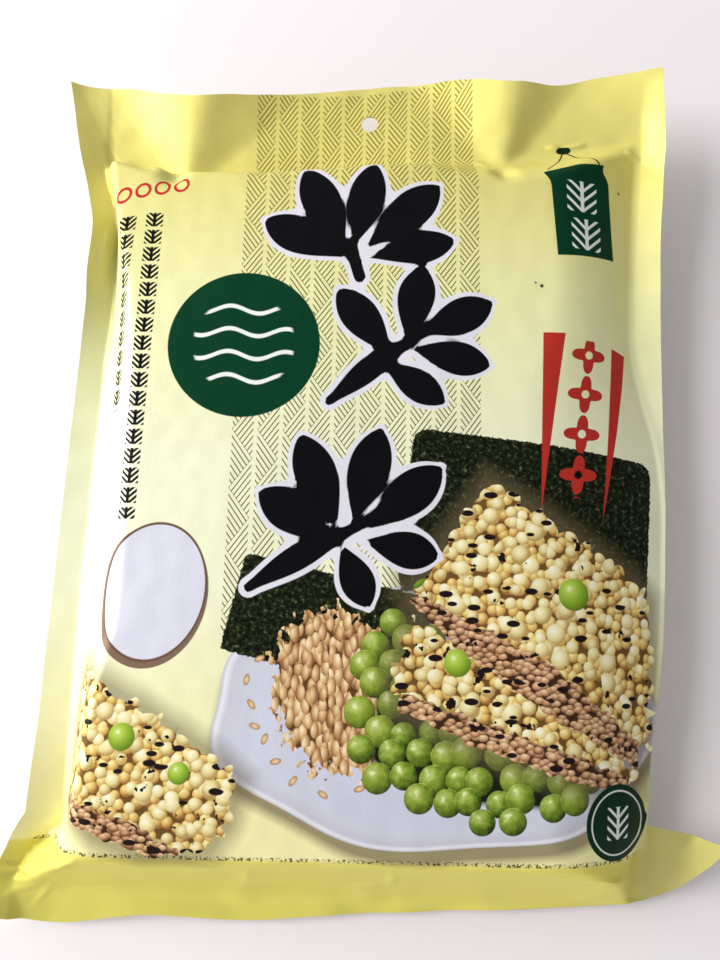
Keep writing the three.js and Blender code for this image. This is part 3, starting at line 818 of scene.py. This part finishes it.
def grains(film, size, radius, stretch=1.0, turn=0.0):
    """Loose round or long grains, as (depth, lit, hue, chance): depth in parts of the cell size, the
    distance from a grain's lit side in parts of its radius, and two numbers of its own.

    A grain is a circle about the centre of each cell of a loose pattern, its radius a little its own.
    """
    place = film.place
    if stretch != 1.0 or turn:
        place = place.node("ShaderNodeMapping", {"vector_type": "POINT"},
                           {"Vector": place, "Rotation": (0, 0, turn), "Scale": (1, stretch, 0)})
    cell = place.node("ShaderNodeTexVoronoi", {"voronoi_dimensions": "2D"},
                      {"Vector": place, "Scale": 1 / size, "Randomness": 0.9})
    outputs = cell.socket.node.outputs
    own = cell.node("ShaderNodeSeparateColor", {}, {0: Wire(cell.tree, outputs["Color"])}).socket.node
    hue, swell, chance = (Wire(cell.tree, output) for output in own.outputs)
    reach = size * radius
    lit = away(place, moved(Wire(cell.tree, outputs["Position"]), (-0.3 * reach, 0.4 * reach, 0))) / reach
    return swell.math("MULTIPLY_ADD", 0.16, radius - 0.08) - cell, lit, hue, chance


def puffed(film, under, layers):
    """Grains in layers over a ground: (size, radius, share, stretch, turn, colours from lit to dim)."""
    for size, radius, share, stretch, turn, stops in layers:
        depth, lit, hue, chance = grains(film, size, radius, stretch, turn)
        tint = ramp(lit.math("MULTIPLY_ADD", 0.6, hue.math("MULTIPLY_ADD", 0.35, -0.1)), stops)
        under = paint(under, edge(depth, 0.06) * within(chance, share, 0.01), tint)
    return under


def ear(a, b, half_width, half_height, line, pitch):
    """Mask of a small ear of grain: a stem, and slanting lines a pitch apart on both of its sides."""
    a = abs(a)
    rank = a.math("MULTIPLY_ADD", -0.9 / pitch, b / pitch).math("FRACT")
    leaf = within(abs(rank - 0.5), line / pitch, 0.25 / pitch)
    return leaf.math("MAXIMUM", within(a, line)) * within(a, half_width) * within(abs(b), half_height)


# ---- the film's print, from the lowest layer up ---------------------------------------------
def ground(film, film_top, colours):
    """Ground: it pales from the header to the middle and deepens at the bottom seal, and painted shade
    darkens the bottom right corner flap and the upper part of the left seal.
    """
    under = ramp(film.t / film_top, [
        (0.0, colours.film_foot), (0.0775, colours.film_foot), (0.0805, ink(246, 240, 178)),
        (0.16, ink(240, 236, 178)), (0.34, colours.film_middle), (0.48, colours.film_middle),
        (0.68, ink(233, 232, 172)), (0.84, colours.film_top), (1.0, colours.film_top)])
    # painted shade: darkens the bottom right corner flap, which faces the window
    corner = edge(film.s, 8, 105) * within(film.t, 52, 20)
    # painted shade: darkens the upper part of the left seal, which tilts away from the light
    seal = within(film.s, -107, 6) * edge(film.t, 50, 205) * within(film.t, 272, 24) * 0.5
    return paint(paint(under, corner, ink(184, 178, 106)), seal, ink(156, 152, 90))


def woven_band(film, under, pitch, film_top, colour):
    """The woven band: strips of slanting lines, which lean one way left of a zigzag and the other
    way right of it.

    Where the strip coordinate is less than the zigzag, which goes to and fro over the half period,
    the lines are where film height plus slope is a whole number of line pitches, and elsewhere
    where film height less slope is.
    """
    half, step, filled, shift, reach = 10.8, 2.7, 0.835, 4.875, 4.93
    across = ((film.s + shift * pitch) / pitch).math("FRACT") * (1 / filled)
    lean = edge((film.t / half).math("PINGPONG", 1) - across, 0.04)
    slope = across * (half / step)
    height = film.t / step + 0.5
    falling = abs((height + slope).math("FRACT") - 0.5)
    rising = abs((height - slope).math("FRACT") - 0.5)
    lines = within(falling * lean + rising * (1 - lean), 0.13, 0.09) * within(across, 1, 0.04)
    inside = within(abs(film.s), reach * pitch, 0.2) * within(film.t, film_top - 6, 0.3)
    return paint(under, lines * inside * edge(film.t, 1, 100), colour)


def dish(film, under):
    """Pale scalloped dish with a bright rim, and its shade."""
    under = paint(under, edge(film.depth("dish_shade"), 4, -0.5) * 0.75, ink(104, 88, 70))
    depth = film.depth("dish")
    china = ramp(depth / 20, [
        (0.0, ink(196, 192, 200)), (0.05, ink(232, 232, 240)), (0.12, ink(200, 200, 212)),
        (0.3, ink(208, 210, 224)), (1.0, ink(205, 208, 226))])
    return paint(under, edge(depth), china)


def sheets(film, under):
    """Dark mottled sheets with ragged edges."""
    rough = film.noise(0.55, 4.0, 0.75)
    leaf = ramp(rough, [(0.3, ink(6, 9, 3)), (0.5, ink(22, 27, 15)), (0.62, ink(46, 55, 31)),
                        (0.75, ink(118, 130, 92))])
    return paint(under, edge(rough.math("MULTIPLY_ADD", 2, film.depth("sheets") - 1)), leaf)


TAN = [(0.0, ink(250, 232, 196)), (0.3, ink(230, 198, 150)),
       (0.6, ink(200, 158, 108)), (0.9, ink(142, 100, 62))]
# Grains that have rolled off the heap: place and turn.
LOOSE_GRAINS = [(-31, 92, 0.4), (-33, 77, -0.9), (-28, 66, 1.2), (-24, 59, 0.2), (-31.5, 70, -0.3),
                (-18, 53, 0.9), (-8, 49, -0.6), (4, 51, 0.3), (-35, 85, 1.4)]


def heap(film, under):
    """Heap of small tan grains, with a few loose ones beside it."""
    grain = (2.9, 0.52, 0.55, 0.5)
    heaped = puffed(film, ink(98, 66, 40), [
        (2.9, 0.52, 1.1, 0.55, 0.5, TAN), (3.1, 0.46, 0.9, 0.5, -0.8, TAN), (3.3, 0.42, 0.6, 0.5, 1.5, TAN)])
    loose = None
    for a, b, turn in LOOSE_GRAINS:
        depth = film.ellipse((a, b), (1.9, 1.0), turn)
        loose = depth if loose is None else loose.math("MAXIMUM", depth)
    under = paint(under, edge(loose), ramp(loose, [(0.0, ink(150, 106, 66)), (0.4, ink(216, 176, 124)),
                                                   (1.0, ink(240, 214, 170))]))
    depth = film.ellipse((-5, 82), (20, 27), 0.25) + (film.noise(0.3, 2.0) - 0.5) * 12
    return paint(under, edge(grains(film, *grain)[0].math("MULTIPLY_ADD", 5, depth), 0.4), heaped)


def round_seeds(film, under):
    """Pile of round green seeds, each laid over those behind it.

    Each seed puts its centre and radius into one vector where it shows, and the pile is shaded by the
    distance from that centre, moved to the lit side.
    """
    centre = film.place
    for a, b, radius in seed_places():
        inside = film.round((a, b), radius, 0.3)
        choice = {0: inside, 4: centre, 5: (a, b, radius)}
        centre = centre.node("ShaderNodeMix", {"data_type": "VECTOR"}, choice, 1)
    size = Wire(centre.tree, centre.node("ShaderNodeSeparateXYZ", {}, {0: centre}).socket.node.outputs["Z"])
    flat = centre.node("ShaderNodeVectorMath", {"operation": "MULTIPLY"}, {0: centre, 1: (1, 1, 0)})
    lit = away(film.place, moved(flat, (-1.5, 1.9, 0))) / (size + 0.01) * 0.6
    green = ramp((film.noise(0.45, 3.0) - 0.5).math("MULTIPLY_ADD", 0.7, lit), [
        (0.0, ink(226, 236, 176)), (0.1, ink(172, 194, 96)), (0.4, ink(120, 148, 48)),
        (0.66, ink(76, 104, 30)), (0.9, ink(34, 50, 14))])
    yellow = ramp(lit, [(0.0, ink(240, 242, 180)), (0.3, ink(176, 190, 74)), (0.66, ink(122, 140, 44)),
                        (0.9, ink(66, 74, 24))])
    bed = film.convex([(8, 60), (28, 48), (66, 46), (84, 54), (60, 66), (20, 100), (10, 98)])
    under = paint(under, edge(bed, 2), ink(26, 32, 20))
    return paint(under, edge(size, 4, 2.2), paint(green, (size - 4.3) * 0.5, yellow))


AMBER = [(0.0, ink(252, 240, 184)), (0.3, ink(240, 216, 136)),
         (0.6, ink(216, 176, 98)), (0.9, ink(158, 112, 58))]
PALE = [(0.0, ink(255, 253, 230)), (0.3, ink(246, 238, 190)),
        (0.6, ink(230, 214, 148)), (0.9, ink(184, 152, 90))]
BROWN = [(0.0, ink(240, 212, 170)), (0.3, ink(218, 178, 136)),
         (0.6, ink(184, 138, 100)), (0.9, ink(122, 84, 58))]
GREEN = [(0.0, ink(236, 244, 196)), (0.15, ink(186, 214, 92)),
         (0.5, ink(140, 176, 50)), (0.9, ink(84, 112, 34))]
# Green seeds on the crackers: place and radius.
CRACKER_SEEDS = [(77.5, 116, 5.6), (36.5, 92, 4.6), (21, 121, 4.4), (-76, 65.5, 4.5), (-56, 54.5, 3.6)]


def crackers(film, under):
    """Crackers of pale puffed grains, with browner cut sides, dark flecks and a few green seeds."""
    tops = film.depth("cracker_tops")
    sides = film.depth("cracker_sides")
    under = paint(under, edge(tops.math("MAXIMUM", sides), 7, -4.5) * 0.6, ink(104, 92, 66))
    puff = puffed(film, ink(112, 80, 42), [
        (3.6, 0.56, 1.1, 1.0, 0.0, AMBER), (5.3, 0.42, 0.85, 1.0, 0.0, PALE),
        (8.7, 0.34, 0.5, 1.0, 0.0, PALE)])
    crust = puffed(film, ink(64, 42, 28), [
        (3.0, 0.56, 1.1, 1.5, 0.55, BROWN), (4.1, 0.4, 0.6, 1.4, 0.55, BROWN)])
    depth, _, _, chance = grains(film, 7.4, 0.26, 2.1, 0.7)
    patches = edge(film.noise(0.13, 3.0, 0.6), 0.02, 0.69)
    flecks = (edge(depth, 0.05) * within(chance, 0.28, 0.01)).math("MAXIMUM", patches)
    puff = paint(puff, flecks, ink(30, 22, 24))
    crust = paint(crust, flecks, ink(34, 24, 24))
    for a, b, radius in CRACKER_SEEDS:
        lit = away(film.place, (a - 0.3 * radius, b + 0.35 * radius, 0)) * (0.6 / radius)
        puff = paint(puff, film.round((a, b), radius, 0.3), ramp(lit, GREEN))
    lumps = grains(film, 5.3, 0.42)[0]
    under = paint(under, edge(lumps.math("MULTIPLY_ADD", 5.3, tops)), puff)
    return paint(under, edge(lumps.math("MULTIPLY_ADD", 5.3 / 2, sides)), crust)


def oval(film, under):
    """Bare pale oval with a brown outline and a shaded foot."""
    inside = film.ellipse((-69.5, 114), (19.5, 25), -0.16)
    foot = film.ellipse((-70, 112.6), (20, 25), -0.16)
    under = paint(under, edge(foot), ink(128, 104, 88))
    under = paint(under, edge(inside, start=0.6), ink(108, 80, 62))
    return paint(under, edge(inside, start=1.3), ink(216, 217, 230))


def sprays(film, under, colour):
    """Dark sprays of leaves with a pale outline."""
    depth = film.depth("sprays")
    under = paint(under, edge(depth, 0.3, -1.9), ink(226, 224, 234))
    return paint(under, edge(depth, 0.3), colour)


def wave_disc(film, under, colour):
    """Disc with pale waves: where film height plus a sine of s, over their spacing, is whole."""
    inside = film.ellipse((-42.5, 205.5), (28.3, 28.3))
    wave = (film.s / 3.4).math("SINE").math("MULTIPLY_ADD", 1.5, film.t) / 9.0 - 22.83
    strokes = within(abs(wave.math("FRACT") - 0.5), 0.09, 0.04) * edge(inside, 1, 9.5)
    return paint(paint(under, edge(inside), colour), strokes, ink(236, 240, 236))


def wedges(film, under, colour):
    """Two red wedges with a row of four-petalled flowers between them.

    A flower's reach at an angle is a constant plus a cosine of four times the angle.
    """
    left = film.convex([(66.6, 145), (77.6, 212.9), (69, 212.6)])
    right = film.convex([(90.1, 142.5), (105.7, 208.4), (98.6, 210)])
    a = film.sum(1, -0.137, -59.2)
    b = repeat(film.t + 0.17 * 15.4, 15.4)
    reach = length(a, b)
    petals = (b.math("ARCTAN2", a) * 4).math("COSINE") * 1.9 + 5.4
    flowers = edge(petals - reach) * edge(reach, start=1.6) * edge(film.t, start=150.5) * within(film.t, 211)
    return paint(paint(under, edge(left.math("MAXIMUM", right)), colour), flowers, colour)


def rings(film, under):
    """Row of red rings under the pleat."""
    reach = length(repeat(film.s, 7.4), film.sum(-0.17, 1, -282.6))
    row = edge(film.s, start=-104) * within(film.s, -67)
    return paint(under, within(abs(reach - 2.6), 0.55) * row, ink(196, 44, 46))


def tag(film, under):
    """Green tag with two pale ears of grain, on a cord with a bead."""
    bead = (82.8, 299.4)
    for end in ((75, 282), (97, 284.5)):
        under = paint(under, film.line(bead, end, 0.3), ink(20, 40, 26))
    under = paint(under, edge(film.ellipse(bead, (2.9, 1.6))), ink(20, 40, 26))
    outline = film.convex([(75.5, 244.3), (101.2, 246.5), (98.3, 285.7), (87, 284.7), (73.6, 280.3)])
    under = paint(under, edge(outline), ink(4, 58, 34))
    for a, b in ((86.6, 270.5), (88, 254.5)):
        under = paint(under, ear(film.s - a, film.t - b, 6.5, 6.5, 0.75, 4.2), ink(228, 232, 228))
    return under


def badge(film, under):
    """Round green badge with a pale ring and an ear of grain."""
    inside = film.ellipse((93, 40), (13, 13))
    under = paint(under, edge(inside), ink(6, 46, 26))
    under = paint(under, within(abs(inside - 2.2), 0.28), ink(226, 232, 226))
    return paint(under, ear(film.s - 93, film.t - 40, 4.5, 5.5, 0.6, 3.4), ink(226, 232, 226))


# Columns of small ears: where they start and lean, lowest and highest t, spacing, half width.
EAR_COLUMNS = [(-82.8, 0.012, 139, 259, 7.2, 3.3), (-105.0, 0.058, 181, 259, 7.6, 3.4)]
# Specks of dirt: place and radius.
SPECKS = [(68.9, 231.3, 0.7), (104, 276, 0.5), (66.6, 232.5, 0.4), (-50, 190, 0.4)]


def small_marks(film, under, colour):
    """Two columns of small ears, a row of broken marks by the bottom fold and a few specks of dirt."""
    for start, lean, low, high, span, wide in EAR_COLUMNS:
        mark = ear(film.sum(1, -lean, -start), repeat(film.t, span), wide, 2.9, 0.62, 2.15)
        under = paint(under, mark * edge(film.t, start=low) * within(film.t, high), colour)
    row = within(abs(film.t - 27.1), 0.75) * within(abs(film.s + 8), 112) * 0.9
    under = paint(under, edge(film.noise(0.8, 2.0, 0.8), 0.03, 0.55) * row, ink(52, 50, 26))
    for a, b, radius in SPECKS:
        under = paint(under, film.round((a, b), radius, 0.5), ink(60, 58, 34))
    return under


def printed_film(colours, sizes, film_top):
    """Glossy printed film: all the print, and the painted shade in its ground, by film coordinates, under one
    clear coat.
    """
    material = bpy.data.materials.new("printed_film")
    material.use_nodes = True
    tree = material.node_tree
    tree.nodes.clear()
    film = Film(tree)
    colour = ground(film, film_top, colours)
    colour = woven_band(film, colour, sizes.strip_pitch / MILLIMETRE, film_top, colours.hatch_ink)
    for layer in (dish, sheets, heap, round_seeds, crackers, oval):
        colour = layer(film, colour)
    colour = sprays(film, colour, colours.dark_ink)
    colour = wave_disc(film, colour, colours.green_ink)
    colour = wedges(film, colour, colours.red_ink)
    for layer in (rings, tag, badge):
        colour = layer(film, colour)
    colour = small_marks(film, colour, colours.dark_ink)

    up = film.t / film_top
    metal = levels(up, [(0.0, 0.25), (0.07, 0.24), (0.11, 0.18), (0.7, 0.18), (0.83, 0.28), (0.9, 0.4)])
    matt = levels(up, [(0.0, 0.46), (0.08, 0.42), (0.15, 0.42), (0.5, 0.42), (0.65, 0.48), (0.88, 0.55)])
    ripple = film.noise(0.7, 1.0).math("MULTIPLY_ADD", 0.12, film.noise(0.11, 0.0))
    shader = film.place.node("ShaderNodeBsdfPrincipled", {}, {
        "Base Color": paint(colours.film_middle, film.shown, colour),
        "Metallic": metal,
        "Roughness": matt + (film.noise(0.05, 1.0) - 0.5) * 0.12,
        "IOR": 1.15,
        "Coat Weight": 0.03,
        "Coat Roughness": 0.16,
        "Coat IOR": 1.5,
        "Normal": ripple.node("ShaderNodeBump", {}, {"Strength": 0.35, "Distance": 0.0006, "Height": ripple}),
    })
    film.place.node("ShaderNodeOutputMaterial", {}, {"Surface": shader})
    return material


def table_top(colours):
    """Matt pale table, a little clouded."""
    material = bpy.data.materials.new("table_top")
    material.use_nodes = True
    tree = material.node_tree
    tree.nodes.clear()
    place = Wire(tree).node("ShaderNodeTexCoord", {}, {}, "Object")
    cloud = place.node("ShaderNodeTexNoise", {}, {"Vector": place, "Scale": 3.0, "Detail": 2.0})
    colour = paint(colours.table, (cloud - 0.4) * 0.2, ink(226, 220, 224))
    shader = place.node("ShaderNodeBsdfPrincipled", {}, {"Base Color": colour, "Roughness": 0.7})
    place.node("ShaderNodeOutputMaterial", {}, {"Surface": shader})
    return material


def room():
    """Pale room, bright towards the horizon, the left and the front, and dim overhead."""
    world = bpy.data.worlds.new("room")
    world.use_nodes = True
    tree = world.node_tree
    tree.nodes.clear()
    aim = Wire(tree).node("ShaderNodeTexCoord", {}, {}, "Generated")
    split = aim.node("ShaderNodeSeparateXYZ", {}, {0: aim}).socket.node
    x, y, height = (Wire(tree, output) for output in split.outputs)
    light = ramp(height, [(0.0, (1.0, 0.98, 0.985)), (0.3, (0.75, 0.735, 0.74)), (0.6, (0.4, 0.392, 0.395)),
                          (1.0, (0.27, 0.265, 0.267))])
    sky = aim.node("ShaderNodeBackground", {}, {"Color": light, "Strength": 1.0 - x * 0.55 - y * 0.4})
    aim.node("ShaderNodeOutputWorld", {}, {"Surface": sky})
    return world


# ---- add-on ---------------------------------------------------------------------------------
class SnackBagSizes(bpy.types.PropertyGroup):
    face_height: FloatProperty(
        name="Face height", description="Height of the shown face above the table",
        default=0.036, min=0.02, max=0.06, subtype="DISTANCE", unit="LENGTH")
    film_gap: FloatProperty(
        name="Flap thickness", description="Both films of a flap and the air between them",
        default=0.0008, min=0.0002, max=0.003, subtype="DISTANCE", unit="LENGTH")
    hole_diameter: FloatProperty(
        name="Hang hole", description="Diameter of the hang hole in the header",
        default=0.007, min=0.004, max=0.012, subtype="DISTANCE", unit="LENGTH")
    strip_pitch: FloatProperty(
        name="Strip pitch", description="Distance between two strips of the woven band",
        default=0.0092, min=0.004, max=0.02, subtype="DISTANCE", unit="LENGTH")
    crinkle: FloatProperty(
        name="Crinkle", description="Share of the film's small folds and waves",
        default=1.0, min=0.0, max=2.0, subtype="FACTOR")


class SnackBagColours(bpy.types.PropertyGroup):
    film_top: FloatVectorProperty(
        name="Film at the top", description="Ground of the print on the header",
        default=ink(224, 215, 124), min=0, max=1, subtype="COLOR")
    film_middle: FloatVectorProperty(
        name="Film in the middle", description="Ground of the print in the middle of the face",
        default=ink(238, 240, 206), min=0, max=1, subtype="COLOR")
    film_foot: FloatVectorProperty(
        name="Film at the foot", description="Ground of the print on the bottom seal",
        default=ink(224, 215, 106), min=0, max=1, subtype="COLOR")
    hatch_ink: FloatVectorProperty(
        name="Hatch ink", description="Lines of the woven band",
        default=ink(98, 80, 16), min=0, max=1, subtype="COLOR")
    dark_ink: FloatVectorProperty(
        name="Dark ink", description="Sprays and small marks",
        default=ink(12, 13, 16), min=0, max=1, subtype="COLOR")
    green_ink: FloatVectorProperty(
        name="Green ink", description="Disc on the face",
        default=ink(4, 60, 36), min=0, max=1, subtype="COLOR")
    red_ink: FloatVectorProperty(
        name="Red ink", description="Wedges and flowers",
        default=ink(186, 52, 42), min=0, max=1, subtype="COLOR")
    table: FloatVectorProperty(
        name="Table", description="Colour of the table top",
        default=ink(240, 234, 237), min=0, max=1, subtype="COLOR")


class SNACKBAG_OT_film(bpy.types.Operator):
    """Make the full bag of printed film"""

    bl_idname = "snack_bag.film"
    bl_label = "Film bag"

    def execute(self, context):
        scene = context.scene
        mesh = film_bag_mesh(scene.snack_bag_sizes)
        top = max(point.vector[1] for point in mesh.attributes["film"].data)
        mesh.materials.append(printed_film(scene.snack_bag_colours, scene.snack_bag_sizes, top))
        piece = bpy.data.objects.new("film_bag", mesh)
        scene.collection.objects.link(piece)
        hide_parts("snack_bag")
        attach(piece, "root")
        return {"FINISHED"}


class SNACKBAG_OT_stage(bpy.types.Operator):
    """Make the table, the light and the camera"""

    bl_idname = "snack_bag.stage"
    bl_label = "Stage"

    def execute(self, context):
        scene = context.scene
        corners = np.array([(-1, -1), (1, -1), (1, 1), (-1, 1)]) * 3.0
        points = np.column_stack([corners, np.full(4, -0.0002)])
        mesh, _ = mesh_from("table", points, np.arange(4).reshape(1, 4))
        mesh.materials.append(table_top(scene.snack_bag_colours))
        table = bpy.data.objects.new("table", mesh)
        scene.collection.objects.link(table)
        add_light("window", (-1.65, 0.35, 0.9), (0, 0.0, 0), (1.4, 1.6), 56, (1.0, 0.99, 0.975))
        add_light("wall", (0.1, 1.5, 1.2), (0, 0, 0), (1.8, 1.0), 4, (1.0, 0.985, 0.985))
        scene.world = room()
        scene.view_settings.view_transform = "Standard"
        add_camera(scene)
        return {"FINISHED"}


def add_light(name, place, aim, size, power, colour):
    """Rectangular soft light at a place, turned to a point: its width lies level."""
    data = bpy.data.lights.new(name, "AREA")
    data.shape = "RECTANGLE"
    data.size, data.size_y = size
    data.energy = power
    data.color = colour
    light = bpy.data.objects.new(name, data)
    light.location = place
    light.rotation_euler = (Vector(aim) - Vector(place)).to_track_quat("-Z", "Y").to_euler()
    bpy.context.scene.collection.objects.link(light)


def add_camera(scene):
    """Camera 290 mm over the table, tilted 11.3 degrees towards the header and turned 1.3."""
    tilt, turn = math.radians(11.3), math.radians(1.3)
    right = Vector((math.cos(turn), math.sin(turn), 0))
    up = Vector((-math.sin(turn) * math.cos(tilt), math.cos(turn) * math.cos(tilt), math.sin(tilt)))
    data = bpy.data.cameras.new("camera")
    data.lens = 27.2
    data.sensor_width = 36
    data.clip_start = 0.01
    camera = bpy.data.objects.new("camera", data)
    axes = Matrix((right, up, right.cross(up))).transposed().to_4x4()
    camera.matrix_world = Matrix.Translation((0.0040, -0.05795, 0.290)) @ axes
    scene.collection.objects.link(camera)
    scene.camera = camera


class SNACKBAG_PT_panel(bpy.types.Panel):
    """Sizes, colours and the pieces to make"""

    bl_idname = "SNACKBAG_PT_panel"
    bl_label = "Snack bag"
    bl_space_type = "VIEW_3D"
    bl_region_type = "UI"
    bl_category = "Snack bag"

    def draw(self, context):
        for group in (context.scene.snack_bag_sizes, context.scene.snack_bag_colours):
            for name in group.bl_rna.properties.keys():
                if name not in ("rna_type", "name"):
                    self.layout.prop(group, name)
        for operator in OPERATORS:
            self.layout.operator(operator.bl_idname)


OPERATORS = (SNACKBAG_OT_stage, SNACKBAG_OT_film)
CLASSES = (SnackBagSizes, SnackBagColours, *OPERATORS, SNACKBAG_PT_panel)


def register():
    for kind in CLASSES:
        bpy.utils.register_class(kind)
    bpy.types.Scene.snack_bag_sizes = PointerProperty(type=SnackBagSizes)
    bpy.types.Scene.snack_bag_colours = PointerProperty(type=SnackBagColours)


def unregister():
    del bpy.types.Scene.snack_bag_colours
    del bpy.types.Scene.snack_bag_sizes
    for kind in reversed(CLASSES):
        bpy.utils.unregister_class(kind)


def main():
    register()
    bpy.ops.snack_bag.stage()
    bpy.ops.snack_bag.film()


if __name__ == "__main__":
    main()
